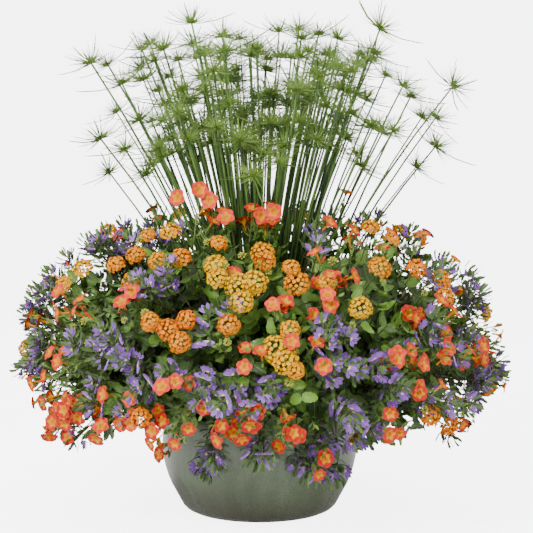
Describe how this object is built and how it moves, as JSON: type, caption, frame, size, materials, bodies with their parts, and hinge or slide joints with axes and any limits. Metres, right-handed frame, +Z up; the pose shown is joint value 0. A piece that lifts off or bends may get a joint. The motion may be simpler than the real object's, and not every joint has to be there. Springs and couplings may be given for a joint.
{
  "type": "mixed annual planter",
  "caption": "Glazed bowl of potting mix planted with tall dwarf papyrus, and with lantana, calibrachoa and scaevola in a ring that spills over the rim.",
  "frame": {"origin": "middle of the bowl's flat foot, on the surface that it stands on", "axes": "+Z up, front of the planter towards -Y, +X to the right seen from the front"},
  "size_m": [0.9125, 0.8779, 0.8879],
  "materials": {
    "glaze": "grey-green satin glaze, streaked down the belly",
    "potting_mix": "crumbly dark peat and bark",
    "roots": "matted roots in mix",
    "papyrus_green": "fresh green culms, rays and bracts",
    "lantana_green": "rough, veined, mid to dark green leaves",
    "lantana_gold": "matt florets, yellow to orange",
    "calibrachoa_green": "soft light green",
    "calibrachoa_coral": "velvety coral pink with a yellow-orange throat",
    "scaevola_green": "dark green leaves on red-brown stems",
    "scaevola_violet": "violet petals with paler margins and a pale eye"
  },
  "bodies": {
    "root": {"bowl": "glaze", "potting_mix": "potting_mix", "papyrus_root_ball": "roots", "lantana_1_root_ball": "roots", "scaevola_1_root_ball": "roots", "calibrachoa_1_root_ball": "roots", "lantana_2_root_ball": "roots", "scaevola_2_root_ball": "roots", "calibrachoa_2_root_ball": "roots", "papyrus_division_1": "papyrus_green", "papyrus_division_2": "papyrus_green", "papyrus_division_3": "papyrus_green", "papyrus_division_4": "papyrus_green", "papyrus_division_5": "papyrus_green", "papyrus_division_6": "papyrus_green", "papyrus_division_7": "papyrus_green", "papyrus_division_8": "papyrus_green", "lantana_shoot_1": "lantana_green", "lantana_head_1": "lantana_gold", "lantana_shoot_2": "lantana_green", "lantana_head_2": "lantana_gold", "lantana_shoot_3": "lantana_green", "lantana_head_3": "lantana_gold", "lantana_shoot_4": "lantana_green", "lantana_head_4": "lantana_gold", "lantana_shoot_5": "lantana_green", "lantana_head_5": "lantana_gold", "lantana_shoot_6": "lantana_green", "lantana_head_6": "lantana_gold", "lantana_shoot_7": "lantana_green", "lantana_head_7": "lantana_gold", "lantana_shoot_8": "lantana_green", "lantana_head_8": "lantana_gold", "lantana_shoot_9": "lantana_green", "lantana_head_9": "lantana_gold", "calibrachoa_shoot_1": "calibrachoa_green", "calibrachoa_bloom_1": "calibrachoa_coral", "calibrachoa_shoot_2": "calibrachoa_green", "calibrachoa_bloom_2": "calibrachoa_coral", "calibrachoa_shoot_3": "calibrachoa_green", "calibrachoa_bloom_3": "calibrachoa_coral", "calibrachoa_shoot_4": "calibrachoa_green", "calibrachoa_bloom_4": "calibrachoa_coral", "calibrachoa_shoot_5": "calibrachoa_green", "calibrachoa_bloom_5": "calibrachoa_coral", "calibrachoa_shoot_6": "calibrachoa_green", "calibrachoa_bloom_6": "calibrachoa_coral", "calibrachoa_shoot_7": "calibrachoa_green", "calibrachoa_bloom_7": "calibrachoa_coral", "scaevola_shoot_1": "scaevola_green", "scaevola_shoot_2": "scaevola_green", "scaevola_shoot_3": "scaevola_green", "scaevola_shoot_4": "scaevola_green", "scaevola_shoot_5": "scaevola_green", "scaevola_shoot_6": "scaevola_green", "scaevola_shoot_7": "scaevola_green", "scaevola_shoot_8": "scaevola_green", "scaevola_shoot_9": "scaevola_green", "scaevola_shoot_10": "scaevola_green"}
  },
  "joints": []
}
